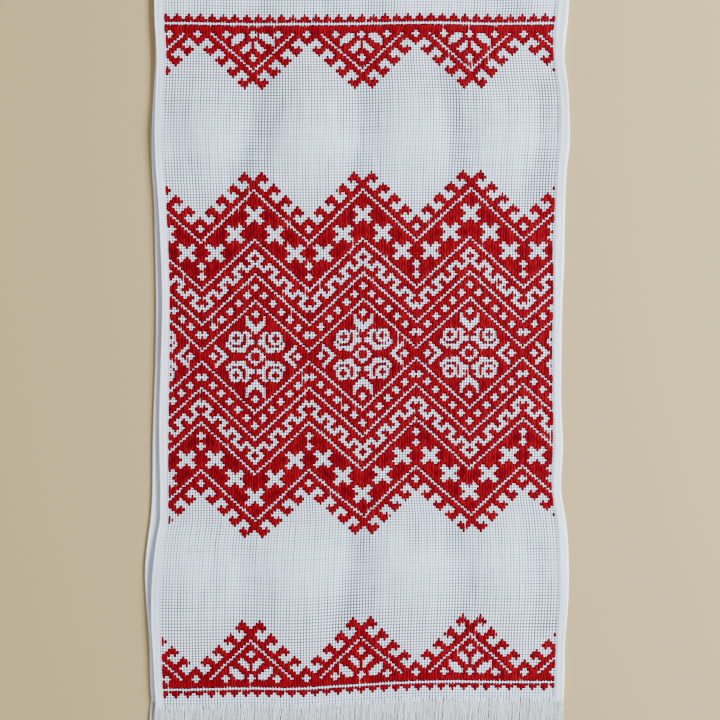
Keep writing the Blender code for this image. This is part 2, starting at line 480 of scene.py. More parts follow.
def surface_normals(points):
    """Unit normals of a grid of points: the cross product of its two gradients."""
    along, over = np.gradient(points, axis=(0, 1))
    normal = np.cross(over, along)
    return normal / np.linalg.norm(normal, axis=-1, keepdims=True)


# %% [markdown]
# The columns stand close together at the steps of the hems, and evenly over the ground. The
# rows follow the upper layer in small steps, because the domes and creases are there, and the
# flat under layer in longer ones. At the towel's end the cloth thins out, as its cross threads
# have been drawn there.

# %% Columns and rows of the cloth's mesh
EDGE_STATIONS = np.array((0.0, 0.15, 0.45, 0.85, 1.5, 2.5, 4.2, 6.6, 8.2, 8.75)) * MM
GROUND_STATIONS = 92
GROUND_INSET = 0.12
UPPER_STEP = 1.6
UNDER_STEP = 5.0
FOLD_STEPS = 12
LAST_UPPER_ROW = 289.0
LAST_UNDER_ROW = 286.5
ROWS_IN_ALL = 578
RAVELLED_ROWS = 3.2
RAVELLED_STEP = 0.8
RAVELLED_SHARE = 0.2
RAVEL_REACH = 3.0


def edge_columns():
    """Column numbers across the cloth, close together at the hems' edges and steps."""
    left = (EDGE_STATIONS / HEM_WIDTH - 1.0) * HEM_COLUMNS
    ground = np.linspace(GROUND_INSET, COLUMNS - GROUND_INSET, GROUND_STATIONS)
    return np.concatenate((left, ground, COLUMNS - left[::-1]))


def ravel(row):
    """1 in the cloth, thinning over its last rows to what is left where its wefts are drawn."""
    return RAVELLED_SHARE + (1.0 - RAVELLED_SHARE) * smooth_step((row - FIRST_ROW) / RAVEL_REACH)


def cloth_middle(columns):
    """Middle of the cloth along the upper layer, the fold and the under layer, as one grid.

    Gives the grid, the row of the weave at each of its lines, and how many lines are upper ones.
    Rows of the weave run on over the fold, from 0 at one end to 578 at the other.
    """
    ravelled = np.arange(FIRST_ROW, FIRST_ROW + RAVELLED_ROWS, RAVELLED_STEP)
    even = np.arange(ravelled[-1] + UPPER_STEP, LAST_UPPER_ROW, UPPER_STEP)
    upper_rows = np.append(ravelled, even)
    turns = np.linspace(0.0, 1.0, FOLD_STEPS + 1)
    under_rows = np.append(np.arange(LAST_UNDER_ROW, FIRST_ROW, -UNDER_STEP)[1:], FIRST_ROW)
    middle = np.concatenate((
        carry(upper_point, columns, upper_rows),
        carry(fold_point, columns, turns),
        carry(under_point, columns, under_rows),
    ))
    fold_rows = LAST_UPPER_ROW + turns * (ROWS_IN_ALL - LAST_UPPER_ROW - LAST_UNDER_ROW)
    weave_rows = np.concatenate((upper_rows, fold_rows, ROWS_IN_ALL - under_rows))
    return middle, weave_rows, len(upper_rows)


print("columns in the mesh:", len(edge_columns()))

# %% [markdown]
# Now the skin. Half the thickness goes up and half goes down along the surface's normal, and
# at the side edges it is rounded off. Each vertex keeps its column and row of the weave and
# how deep in a crease it is. The material draws the threads from them, and paints shade into
# the creases.

# %% Build the cloth
EDGE_ROUNDING = 0.8 * MM
LEAST_EDGE = 0.02
SHARP_EDGE = 60.0


def skin_faces(line_count, ring):
    """Quads between neighbouring rings, and a strip of quads over each of the two open ends."""
    line, place = np.meshgrid(np.arange(line_count - 1), np.arange(ring), indexing="ij")
    here = line * ring + place
    beside = line * ring + (place + 1) % ring
    sides = np.stack((here, beside, beside + ring, here + ring), axis=-1).reshape(-1, 4)
    step = np.arange(ring // 2 - 1)
    cap = np.stack((step, ring - 1 - step, ring - 2 - step, step + 1), axis=-1)
    last_cap = cap[:, ::-1] + (line_count - 1) * ring
    return np.concatenate((sides, cap, last_cap))


def build_cloth():
    """The folded sheet as one closed skin: middle plus and minus half the thickness.

    The share of the thickness at an edge is sqrt(1 - (1 - d)^2), with d the distance from the
    edge over the rounding's radius.
    """
    columns = edge_columns()
    middle, weave_rows, upper_count = cloth_middle(columns)
    inward = (HEM_COLUMNS + np.minimum(columns, COLUMNS - columns)) * HEM_WIDTH / HEM_COLUMNS
    roundness = np.sqrt(1.0 - (1.0 - np.clip(inward / EDGE_ROUNDING, LEAST_EDGE, 1.0)) ** 2)
    thinned = ravel(np.minimum(weave_rows, ROWS_IN_ALL - weave_rows))[:, None]
    half = (thinned * thickness(columns) * roundness / 2)[..., None] * surface_normals(middle)
    rings = np.concatenate((middle + half, (middle - half)[:, ::-1]), axis=1)
    faces = skin_faces(*rings.shape[:2])
    piece = mesh_object("towel_cloth", rings.reshape(-1, 3), faces.tolist())
    weave = np.zeros_like(rings)
    weave[..., 0] = np.concatenate((columns, columns[::-1]))
    weave[..., 1] = weave_rows[:, None]
    upper = rings[:upper_count]
    # How deep in a crease each place of the upper layer is; the material paints shade there.
    weave[:upper_count, :, 2] = creases(upper[..., 0], upper[..., 1])
    store(piece, "weave", weave.reshape(-1, 3))
    piece.data.set_sharp_from_angle(angle=np.radians(SHARP_EDGE))
    print("cloth:", len(faces), "faces")
    return piece


cloth = build_cloth()

# %% [markdown]
# ## Charting the stitches
#
# A darned band is worked from a chart on squared paper: a filled square is yarn over one
# thread, an empty one shows the canvas. The whole band here comes from one mirror-symmetric
# repeat, 38 columns wide, so the chart only needs the 20 columns from a peak to a valley, and
# the rows above the middle one. Long zigzags are lines of a rule, and small motifs are charted
# as text, with # for yarn and o for bare cloth.

# %% Small charts
STAR = (
    "#o###o#",
    "ooo#ooo",
    "#ooooo#",
    "##ooo##",
    "#ooooo#",
    "ooo#ooo",
    "#o###o#",
)
DIAMOND = (
    "#o#",
    "ooo",
    "#o#",
)
WAVE = (
    "o####",
    "oo###",
    "#oo##",
    "##oo#",
    "#oo##",
    "oo###",
    "#oo#o",
    "##ooo",
    "###o#",
)
ROSE_QUARTER = (
    "###o###########",
    "###o###########",
    "##oo###########",
    "#ooo###########",
    "ooo############",
    "oo#############",
    "o##oo#ooo######",
    "##oo#oo#oo#####",
    "###o#o###o#####",
    "#ooo#oo#oo#####",
    "#ooo##ooo#o####",
    "###oo####oo###o",
    "o###oooooo###oo",
    "oo##ooo#o###oo#",
    "##o########oo##",
    "##oo######oo###",
)
LEAVES = (
    "o##########",
    "oo#########",
    "o##########",
    "###o#######",
    "##ooo######",
    "#ooo#######",
    "#oo####o###",
    "#o###ooo###",
    "####oooo###",
    "o##oooo##o#",
    "oo#ooo##ooo",
    "o########o#",
)

# %% [markdown]
# The repeat is kept in a small array of yes and no: columns from the peak, and rows up from
# the band's middle. Its outer edge steps down into little hooks, four columns apart, that give
# the band its comb-like outline.

# %% Chart the hooked edge
HALF_REPEAT = 20
PEAK_ROW = 62
BAND_TOP = 69
PEAK_COLUMNS = 2
HOOK_PITCH = 4
# Above the peak line, for the four columns of a hook: the last filled row, and the rows of the
# separate float beyond the gap. They drop by a hook's pitch from one hook to the next.
HOOK_FILL = np.array((63, 62, 61, 62))
HOOK_FLOAT_FROM = np.array((65, 66, 65, 66))
HOOK_FLOAT_TO = np.array((67, 68, 67, 66))
# The peak's own two columns rise higher, to this row and the next.
PEAK_FILL = 65


def hooked_edge():
    """Yarn of the repeat up to its outer edge: filled rows, then the hooks' own floats."""
    column, row = np.meshgrid(np.arange(HALF_REPEAT), np.arange(BAND_TOP), indexing="ij")
    hook = np.maximum(column - PEAK_COLUMNS, 0)
    drop = HOOK_PITCH * (hook // HOOK_PITCH)
    part = hook % HOOK_PITCH
    in_peak = column < PEAK_COLUMNS
    fill = np.where(in_peak, PEAK_FILL + column, HOOK_FILL[part] - drop)
    float_from = HOOK_FLOAT_FROM[part] - drop
    float_to = np.where(in_peak, 0, HOOK_FLOAT_TO[part] - drop)
    filled = (row <= fill) | ((row >= float_from) & (row <= float_to))
    return filled & (row + column != PEAK_ROW)


print("yarn cells in the plain repeat:", hooked_edge().sum())

# %% [markdown]
# Inside that edge the bare lines of the pattern are cleared away: zigzags that run along with
# the edge, a wave of small links, stars and diamonds between them, and a rose in the middle.

# %% Chart the main band
STAR_PLACES = ((0, 53), (7, 46), (14, 39))
DIAMOND_PLACES = (
    (19, 34), (19, 30), (0, 26), (3, 23), (6, 20), (9, 17), (12, 14), (15, 11), (18, 8),
    (0, 16), (15, 0),
)
ZIGZAG_PEAKS = (44, 31, 21)
WAVE_TOP = 40
WAVE_STEP = 5


def stamp(filled, chart, left, top):
    """Clears the cells of a small chart whose top left cell is (left, top)."""
    for down, line in enumerate(chart):
        for along, cell in enumerate(line):
            column, row = left + along, top - down
            if cell == "o" and 0 <= column < filled.shape[0] and 0 <= row < filled.shape[1]:
                filled[column, row] = False


def chart_band():
    """The quarter repeat of the main band: the zigzags, the wave, the small motifs, the rose."""
    filled = hooked_edge()
    column = np.arange(HALF_REPEAT)
    for peak in ZIGZAG_PEAKS:
        filled[column, peak - column] = False
    for unit in range(HALF_REPEAT // WAVE_STEP):
        stamp(filled, WAVE, unit * WAVE_STEP, WAVE_TOP - unit * WAVE_STEP)
    for middle, row in STAR_PLACES:
        stamp(filled, STAR, middle - len(STAR) // 2, row + len(STAR) // 2)
    for middle, row in DIAMOND_PLACES:
        stamp(filled, DIAMOND, middle - len(DIAMOND) // 2, row + len(DIAMOND) // 2)
    stamp(filled, ROSE_QUARTER, 0, len(ROSE_QUARTER) - 1)
    return filled


def draw(filled):
    """The chart as text, for a look at it."""
    return "\n".join("".join("#" if cell else "o" for cell in line) for line in filled.T[::-1])


print(draw(chart_band()))

# %% [markdown]
# A border is the same hooked edge, cut off by a straight bare line 44 rows above the band's
# middle, with leaves in its triangles.

# %% Chart the border
BORDER_CUT = 44
BORDER_ROWS = 25
LINE_END = 15
LEAVES_TOP = 14


def chart_border():
    """The half repeat of a border, with rows counted from its straight white line."""
    filled = hooked_edge()[:, BORDER_CUT:BORDER_CUT + BORDER_ROWS]
    foot = np.arange(LINE_END, PEAK_ROW - BORDER_CUT)
    filled[foot, PEAK_ROW - BORDER_CUT - foot] = True
    stamp(filled, LEAVES, 0, LEAVES_TOP)
    filled[:, 0] = False
    return filled


print(draw(chart_border()))

# %% [markdown]
# Now the repeat is laid out over all 136 columns. The distance from each column to its nearest
# peak picks the column of the repeat, which mirrors it at every peak and valley at once. Small
# teeth stand on the far side of each border's white line.

# %% Lay the repeat out over the end of the towel
PEAKS = np.array((-8, 30, 68, 106, 144))
TOP_LINE_ROW = 242
MIDDLE_ROW = 121
TEETH_ROWS = 3
TOOTH_HEIGHTS = np.array((3, 2, 1, 2))


def chart_end():
    """Every stitched cell of one end: (column, row), rows from the lower teeth upwards."""
    column = np.arange(COLUMNS)
    from_peak = np.abs(column[:, None] - PEAKS[None, :]).min(axis=1)
    cells = np.zeros((COLUMNS, TOP_LINE_ROW + 2 * TEETH_ROWS + 1), dtype=bool)
    band = chart_band()[from_peak]
    middle = MIDDLE_ROW + TEETH_ROWS
    cells[:, middle:middle + BAND_TOP] |= band
    cells[:, middle - BAND_TOP + 1:middle + 1] |= band[:, ::-1]
    border = chart_border()[from_peak]
    cells[:, TEETH_ROWS:TEETH_ROWS + BORDER_ROWS] |= border
    teeth = TOOTH_HEIGHTS[column % HOOK_PITCH]
    for height in range(1, TEETH_ROWS + 1):
        cells[:, TEETH_ROWS - height] = teeth >= height
    edge = TEETH_ROWS + BORDER_ROWS
    cells[:, -edge:] |= cells[:, :edge][:, ::-1]
    return cells


def floats_of(cells):
    """Runs of stitched cells up each column, as arrays (column, first row, rows)."""
    padded = np.pad(cells.astype(int), ((0, 0), (1, 1)))
    change = np.diff(padded, axis=1)
    column, first = np.nonzero(change == 1)
    end = np.nonzero(change == -1)[1]
    return column, first - TEETH_ROWS, end - first


float_columns, float_rows, float_lengths = floats_of(chart_end())
FLOATS = len(float_columns)
print("floats:", FLOATS, "yarn cells:", float_lengths.sum(), "longest:", float_lengths.max())

# %% [markdown]
# ## The red yarn
#
# Painted or bumped stitches look flat as soon as the light comes from the side, so each float
# is a real piece of yarn: a flattened spindle that comes out of one hole, swells over two rows
# until it touches the floats beside it, and dives into another hole. There are thousands of
# them, so a section of the yarn has only four corners, and all are made as one array of rings.

# %% Shape of a float
# A section of the yarn: places across it in half widths, and up from the cloth in heights.
SECTION = np.array(((1.0, -0.15), (0.5, 0.9), (-0.5, 0.9), (-1.0, -0.15)))
# How the yarn swells: rows from the nearer hole, half its width in columns, share of its height.
SWELL = np.array((
    (0.0, 0.17, 0.1),
    (0.3, 0.44, 0.55),
    (0.7, 0.60, 0.8),
    (1.2, 0.67, 0.95),
    (2.0, 0.71, 1.0),
))
# The two rings near an end stand at these rows, or at these shares of a short float.
RING_ROWS = (0.3, 1.0)
RING_SHARES = (0.16, 0.34)
# A short float has no room to spread: lengths in rows, and the shares of the full width.
SHORT_FLOATS = ((1.9, 2.9, 3.9, 5.0), (0.88, 0.94, 0.98, 1.0))


def spindle(lengths):
    """Rows from the first hole, half widths and heights of the five rings of each float.

    Two rings stand near each end, closer on short floats, and one in the middle. The swell is
    read from the table at each ring's distance from the nearer hole.
    """
    lengths = lengths[:, None]
    near = np.minimum(RING_ROWS, lengths * np.array(RING_SHARES))
    rows = np.concatenate((near, lengths / 2, lengths - near[:, ::-1]), axis=1)
    from_end = np.minimum(rows, lengths - rows)
    half_widths = np.interp(from_end, SWELL[:, 0], SWELL[:, 1])
    half_widths = half_widths * np.interp(lengths, *SHORT_FLOATS)
    heights = np.interp(from_end, SWELL[:, 0], SWELL[:, 2])
    return rows, from_end, half_widths, heights


def tube_quads(ring_count, ring, first=0):
    """Quads between neighbouring rings of a tube whose first ring starts at vertex first."""
    turn = np.arange(ring)
    onward = (turn + 1) % ring
    starts = first + ring * np.arange(ring_count - 1)[:, None]
    corners = (starts + turn, starts + ring + turn, starts + ring + onward, starts + onward)
    return np.stack(corners, axis=-1).reshape(-1, 4)


def repeat_faces(faces, count, vertices_each):
    """The same faces for each of many like shapes, whose vertices follow one another."""
    offsets = np.arange(count)[:, None, None] * vertices_each
    return (faces + offsets).reshape(-1, faces.shape[1]).tolist()


def spindle_faces(ring_count, ring):
    """Faces of one float, whose vertices are its two tips and then its rings."""
    turn = np.arange(ring)
    onward = (turn + 1) % ring
    first = np.stack((0 * turn, 2 + turn, 2 + onward), axis=-1)
    end = 2 + ring * (ring_count - 1)
    last = np.stack((0 * turn + 1, end + onward, end + turn), axis=-1)
    return tube_quads(ring_count, ring, first=2), np.concatenate((first, last))


float_quads, float_triangles = spindle_faces(2 * len(RING_ROWS) + 1, len(SECTION))
print("triangles in a float:", 2 * len(float_quads) + len(float_triangles))

# %% [markdown]
# No two floats are alike. Each overshoots its cells by a little more or less at either end, is
# fuller or thinner, and leans a little to one side. The under layer's right side faces down, so
# its floats hang below the cloth, and their faces are turned the other way round.

# %% Build the stitches
YARN_HEIGHT = 0.34 * MM
YARN_DIP = 0.25 * MM
YARN_OVERSHOOT = 0.45
OVERSHOOT_SPREAD = 0.07
OVERSHOOT_LIMIT = 0.15
FULLNESS_SPREAD = 0.1
FULLNESS_LIMITS = (0.75, 1.2)
LEAN_SPREAD = 0.04


def build_stitches(name, point, side, seed):
    """The floats of one end. side is +1 where the right side of the cloth faces up, else -1.

    A ring's vertices lie at (column + half width * section's place, height * section's rise)
    from the float's line, and its two tips dip into the cloth.
    """
    chance = np.random.default_rng(seed)
    uneven = chance.normal(0.0, OVERSHOOT_SPREAD, (2, FLOATS))
    before, beyond = YARN_OVERSHOOT + uneven.clip(-OVERSHOOT_LIMIT, OVERSHOOT_LIMIT)
    lengths = float_lengths + before + beyond
    rows, from_end, half_widths, heights = spindle(lengths)
    fullness = chance.normal(1.0, FULLNESS_SPREAD, (FLOATS, 1, 1)).clip(*FULLNESS_LIMITS)
    lean = chance.normal(0.0, LEAN_SPREAD, (FLOATS, 1, 1))
    first_hole = float_rows - 0.5 - before
    row = (first_hole[:, None] + rows)[:, :, None] + 0.0 * SECTION[:, 0]
    swell = half_widths[..., None] * fullness * SECTION[:, 0]
    column = float_columns[:, None, None] + 0.5 + lean + swell
    x, y, z = point(column, row)
    lift = YARN_HEIGHT * heights[..., None] * fullness * SECTION[:, 1]
    z = z + side * (thickness(column) / 2 + lift)
    rings = np.stack((x, y, z), axis=-1)
    tip_rows = np.stack((first_hole, first_hole + lengths), axis=1)
    tip_columns = float_columns[:, None] + 0.5 + 0.0 * tip_rows
    tip_x, tip_y, tip_z = point(tip_columns, tip_rows)
    tip_z = tip_z + side * (thickness(tip_columns) / 2 - YARN_DIP)
    tips = np.stack((tip_x, tip_y, tip_z), axis=-1)
    vertices = np.concatenate((tips, rings.reshape(FLOATS, -1, 3)), axis=1)
    faces = []
    for kind in (float_quads, float_triangles):
        # A step of -1 reads a face's corners backwards, which turns it round to face up.
        faces += repeat_faces(kind[:, ::-side], FLOATS, vertices.shape[1])
    piece = mesh_object(name, vertices.reshape(-1, 3), faces)
    yarn = np.zeros_like(vertices)
    yarn[:, 2:, 0] = np.tile(0.5 + 0.5 * SECTION[:, 0], rows.shape[1])
    yarn[:, 2:, 1] = np.repeat(from_end, len(SECTION), axis=1)
    yarn[:, :2, 0] = 0.5
    yarn[..., 2] = chance.random((FLOATS, 1))
    store(piece, "yarn", yarn.reshape(-1, 3))
    print(name, "floats:", FLOATS, "faces:", len(faces))
    return piece


stitches_top = build_stitches("red_stitching_top", upper_point, side=1, seed=11)
stitches_under = build_stitches("red_stitching_under", under_point, side=-1, seed=12)

# %% [markdown]
# ## The fringes
#
# The weft was pulled out of the last stretch of cloth, and its warp threads are left loose.
# A hair system would not export, so each thread is a thin three-sided tube along a wavy
# path. The threads start in bundles, one for each column of the weave, and lie in a few layers.

# %% Paths of the loose threads
THREADS_PER_END = 1440
THREAD_STATIONS = 12
THREAD_RADIUS = 0.25 * MM
FRINGE_ROOT_ROW = FIRST_ROW + 1.4
FRINGE_INSET = 0.3
BUNDLE_SPREAD = 0.38
FRINGE_RAGGEDNESS = 5.0 * MM
FRINGE_LAYERS = 4
LAYER_ORDER = 7
LAYER_STEP = 0.32 * MM
# The sway that neighbours share: a lean to the left, and two waves (size, speed, start).
FRINGE_LEAN = -4.5 * MM
SWAYS = ((1.6 * MM, 2.3, 0.7), (1.0 * MM, 7.1, 0.0))
SWAY_LENGTH = 60.0 * MM
# What each thread does by itself: a drift to one side, and a few turns of a fine curl.
OWN_DRIFT = 1.1 * MM
OWN_CURL = 0.45 * MM
CURL_TURNS = (1.5, 4.0)
CURL_START = 5.0
# Powers of the way from root to tip: where the stations stand, how sway and drift grow.
STATION_POWER = 1.4
SWAY_POWER = 1.3
DRIFT_POWER = 1.5
# The part of its way over which a thread falls from the cloth: its start and its length.
FALL_PART = (0.05, 0.3)


def thread_paths(point, tip_y, lie_z, chance):
    """Paths from the cloth's end to a ragged line, as an array (thread, station, 3).

    A path runs straight from root to tip, plus a slow sideways sway that neighbours share and a
    smaller wander of its own, both growing with t, the way from root to tip. It falls from the
    cloth to where it lies over the first third of its way.
    """
    count = THREADS_PER_END
    half_inset = HEM_COLUMNS - FRINGE_INSET
    column = np.linspace(-half_inset, COLUMNS + half_inset, count)
    column = np.round(column) + chance.normal(0.0, BUNDLE_SPREAD, count)
    root = np.stack(np.broadcast_arrays(*point(column, np.full(count, FRINGE_ROOT_ROW))), axis=-1)
    root[:, 2] += chance.uniform(-0.5, 0.5, count) * ravel(FRINGE_ROOT_ROW) * thickness(column)
    t = np.linspace(0.0, 1.0, THREAD_STATIONS)[None, :] ** STATION_POWER
    place = root[:, 0] / SWAY_LENGTH
    sway = FRINGE_LEAN
    for size, speed, start in SWAYS:
        sway = sway + size * np.sin(speed * place + start)
    own = chance.normal(0.0, OWN_DRIFT, (count, 1)) * t**DRIFT_POWER
    turns = chance.uniform(*CURL_TURNS, (count, 1)) * t + chance.random((count, 1))
    curl = chance.normal(0.0, OWN_CURL, (count, 1)) * np.sin(2.0 * np.pi * turns)
    curl = curl * smooth_step(CURL_START * t)
    x = root[:, :1] + sway[:, None] * t**SWAY_POWER + own + curl
    tip = tip_y + FRINGE_RAGGEDNESS * chance.random((count, 1)) ** 2
    y = root[:, 1:2] + (tip - root[:, 1:2]) * t
    layer = np.arange(count) * LAYER_ORDER % FRINGE_LAYERS
    layer = layer[:, None] + chance.random((count, 1))
    lying = lie_z + THREAD_RADIUS + layer * LAYER_STEP
    z = lying + (root[:, 2:] - lying) * (1.0 - smooth_step((t - FALL_PART[0]) / FALL_PART[1]))
    return np.stack((x, y, z), axis=-1), t, place


# %% [markdown]
# The threads get thinner towards their tips. Each vertex keeps a tone and its way along the
# thread. The tone is partly the thread's own and partly shared by a clump of neighbours, since
# loose threads hang together and shade each other.

# %% Build the fringes
FRINGE_TIP_Y = -375.0 * MM
UNDER_TIP_Y = -369.0 * MM
UPPER_LIE_Z = 1.7 * MM
TAPER = 0.35
RADIUS_RANGE = (0.8, 1.1)
CORNER_ANGLES = np.radians((90.0, 210.0, 330.0))
CLUMP_SPEEDS = (19.0, 5.3)
CLUMP_START = 1.0
CLUMP_SHARE = 0.45


def build_fringe(name, point, tip_y, lie_z, seed):
    """A three-sided tube round each thread's path, closed at both ends."""
    chance = np.random.default_rng(seed)
    count = THREADS_PER_END
    path, t, place = thread_paths(point, tip_y, lie_z, chance)
    radius = THREAD_RADIUS * (1.0 - TAPER * t[..., None])
    radius = radius * chance.uniform(*RADIUS_RANGE, (count, 1, 1))
    corners = (np.cos(CORNER_ANGLES), 0.0 * CORNER_ANGLES, np.sin(CORNER_ANGLES))
    ring = np.stack(corners, axis=-1)
    vertices = path[:, :, None, :] + radius[..., None] * ring
    end = len(ring) * (THREAD_STATIONS - 1)
    caps = np.array(((0, 1, 2), (end + 2, end + 1, end)))
    vertices_each = len(ring) * THREAD_STATIONS
    faces = repeat_faces(tube_quads(THREAD_STATIONS, len(ring))[:, ::-1], count, vertices_each)
    faces += repeat_faces(caps[:, ::-1], count, vertices_each)
    piece = mesh_object(name, vertices.reshape(-1, 3), faces)
    fast, slow = CLUMP_SPEEDS
    clump = 0.5 + 0.5 * np.sin(fast * place) * np.sin(slow * place + CLUMP_START)
    own_tone = (1.0 - CLUMP_SHARE) * chance.random((count, 1, 1))
    strand = np.zeros_like(vertices)
    strand[..., 0] = own_tone + CLUMP_SHARE * clump[:, None, None]
    strand[..., 1] = t[..., None]
    store(piece, "strand", strand.reshape(-1, 3))
    print(name, "threads:", count, "faces:", len(faces))
    return piece


fringe_top = build_fringe("towel_fringe_top", upper_point, FRINGE_TIP_Y, UPPER_LIE_Z, seed=21)
fringe_under = build_fringe("towel_fringe_under", under_point, UNDER_TIP_Y, 0.0, seed=22)

# %% [markdown]
# ## Materials
#
# Cotton canvas, loose cotton thread and red yarn are all matt fibres. What tells them apart is
# their structure, so each material draws it: the grid of holes, the plies of the yarn, the
# uneven tone from thread to thread. Small helpers add nodes and wire them up. A link or a plain
# value may go into any of their inputs.

# %% Helpers for sums, masks and colours
def wire(tree, socket, value):
    """Links a socket to another node's output, or sets its value."""
    if isinstance(value, bpy.types.NodeSocket):
        tree.links.new(value, socket)
    else:
        socket.default_value = value


def calculate(tree, operation, *values, clamp=False):
    """A Math node; gives its output."""
    node = tree.nodes.new("ShaderNodeMath")
    node.operation = operation
    node.use_clamp = clamp
    for socket, value in zip(node.inputs, values):
        wire(tree, socket, value)
    return node.outputs[0]


def add_share(tree, value, share, total, clamp=False):
    """total + share * value, as one node."""
    return calculate(tree, "MULTIPLY_ADD", value, share, total, clamp=clamp)


def fade(tree, value, start, width):
    """1 at or below start, falling to 0 over width."""
    over = calculate(tree, "DIVIDE", calculate(tree, "SUBTRACT", value, start), width)
    return calculate(tree, "SUBTRACT", 1.0, over, clamp=True)


def opposite(tree, mask):
    """1 where a mask is 0, and 0 where it is 1."""
    return calculate(tree, "SUBTRACT", 1.0, mask)


def off(tree, value, place):
    """How far a value is from a place, on either side of it."""
    return calculate(tree, "ABSOLUTE", calculate(tree, "SUBTRACT", value, place))


def mix_colour(tree, share, first, second):
    """A Mix node for colours; gives its output."""
    node = tree.nodes.new("ShaderNodeMix")
    node.data_type = "RGBA"
    wire(tree, node.inputs["Factor"], share)
    wire(tree, node.inputs["A"], first)
    wire(tree, node.inputs["B"], second)
    return node.outputs["Result"]


# %% Helpers for places on a piece
def object_place(tree):
    """A point's place on the piece, in metres."""
    return tree.nodes.new("ShaderNodeTexCoord").outputs["Object"]


def noise(tree, vector, scale, detail):
    """A Noise texture's value at a vector."""
    node = tree.nodes.new("ShaderNodeTexNoise")
    wire(tree, node.inputs["Vector"], vector)
    node.inputs["Scale"].default_value = scale
    node.inputs["Detail"].default_value = detail
    return node.outputs["Fac"]


def stored_parts(tree, name):
    """The three numbers that a piece keeps under a name."""
    attribute = tree.nodes.new("ShaderNodeAttribute")
    attribute.attribute_name = name
    parts = tree.nodes.new("ShaderNodeSeparateXYZ")
    tree.links.new(attribute.outputs["Vector"], parts.inputs[0])
    return parts.outputs


# %% Helpers for groups and materials
def new_group(name, inputs, outputs):
    """A shader node group with named number inputs and outputs."""
    tree = bpy.data.node_groups.new(name, "ShaderNodeTree")
    for in_out, labels in (("INPUT", inputs), ("OUTPUT", outputs)):
        for label in labels:
            tree.interface.new_socket(label, in_out=in_out, socket_type="NodeSocketFloat")
    given = tree.nodes.new("NodeGroupInput").outputs
    out = tree.nodes.new("NodeGroupOutput").inputs
    return tree, given, out


def use_group(tree, group, **values):
    """Places a node group in a material and sets its inputs; gives its outputs."""
    node = tree.nodes.new("ShaderNodeGroup")
    node.node_tree = group
    for label, value in values.items():
        wire(tree, node.inputs[label], value)
    return node.outputs


def new_material(name, roughness, specular):
    """A new material; gives it, its node tree and its Principled shader."""
    material = bpy.data.materials.new(name)
    material.use_nodes = True
    shader = material.node_tree.nodes["Principled BSDF"]
    shader.inputs["Roughness"].default_value = roughness
    shader.inputs["Specular IOR Level"].default_value = specular
    return material, material.node_tree, shader


def add_bump(tree, shader, height, distance, strength):
    """Feeds a height through a Bump node into the shader's normal."""
    node = tree.nodes.new("ShaderNodeBump")
    node.inputs["Strength"].default_value = strength
    node.inputs["Distance"].default_value = distance
    tree.links.new(height, node.inputs["Height"])
    tree.links.new(node.outputs["Normal"], shader.inputs["Normal"])


# %% [markdown]
# ## Spun plies
#
# Every cotton thread is spun from plies, which show as fine slanting ridges. The yarn and the
# fringe both need them, so they are one node group: stripes of a sine wave across the thread,
# slanted by how far along it they are.

# %% Group: spun plies
def make_ply_group():
    """Ridges of height 0.5 + 0.5 sin(2 pi (across * plies + along * slant))."""
    tree, given, out = new_group("spun_plies", ("Across", "Along", "Plies", "Slant"), ("Ridge",))
    slanted = calculate(tree, "MULTIPLY", given["Along"], given["Slant"])
    crossing = calculate(tree, "MULTIPLY", given["Across"], given["Plies"])
    phase = calculate(tree, "MULTIPLY", calculate(tree, "ADD", slanted, crossing), 2.0 * np.pi)
    wave = calculate(tree, "SINE", phase)
    tree.links.new(add_share(tree, wave, 0.5, 0.5), out["Ridge"])
    return tree


ply_group = make_ply_group()
print("group:", ply_group.name)

# %% [markdown]
# ## The canvas
#
# The canvas is a plain grid. The fraction of the column and of the row gives the place inside one
# cell. The threads are pads round the cell's corners, so the middles of columns and rows are the
# furrows between threads, and a hole is where two furrows cross. No two threads are spun alike,
# so a noise that is stretched along each furrow makes some of them open and others tight.

# %% Group: the canvas grid
# How each mask fades away from a line, in shares of a cell: the full part, and the fall.
HOLE_FADE = (0.17, 0.18)
COLUMN_FURROW_FADE = (0.09, 0.24)
ROW_FURROW_FADE = (0.09, 0.22)
# How open a furrow is: what its noise adds, and the least.
COLUMN_OPENNESS = (0.42, 0.42)
ROW_OPENNESS = (0.4, 0.32)
FURROWS_APART = 1.7
HEM_THREADS_APART = 2.6
STREAK_STRETCH = 0.05
STREAK_CUT = 0.28
STREAK_GAIN = 2.3


def streaks(tree, line, along, apart):
    """A noise from 0 to 1 that is stretched along numbered lines, and set apart across them."""
    node = tree.nodes.new("ShaderNodeCombineXYZ")
    wire(tree, node.inputs["X"], calculate(tree, "MULTIPLY", line, apart))
    wire(tree, node.inputs["Y"], calculate(tree, "MULTIPLY", along, STREAK_STRETCH))
    value = noise(tree, node.outputs["Vector"], 1.0, 2.0)
    above = calculate(tree, "SUBTRACT", value, STREAK_CUT)
    return calculate(tree, "MULTIPLY", above, STREAK_GAIN, clamp=True)


def furrow(tree, line, along, from_line, fading, openness):
    """A furrow: 1 in its middle and 0 on the pads, times how open it is along its length."""
    tightness = streaks(tree, calculate(tree, "FLOOR", line), along, FURROWS_APART)
    open_here = calculate(tree, "MULTIPLY_ADD", tightness, *openness)
    return calculate(tree, "MULTIPLY", fade(tree, from_line, *fading), open_here)


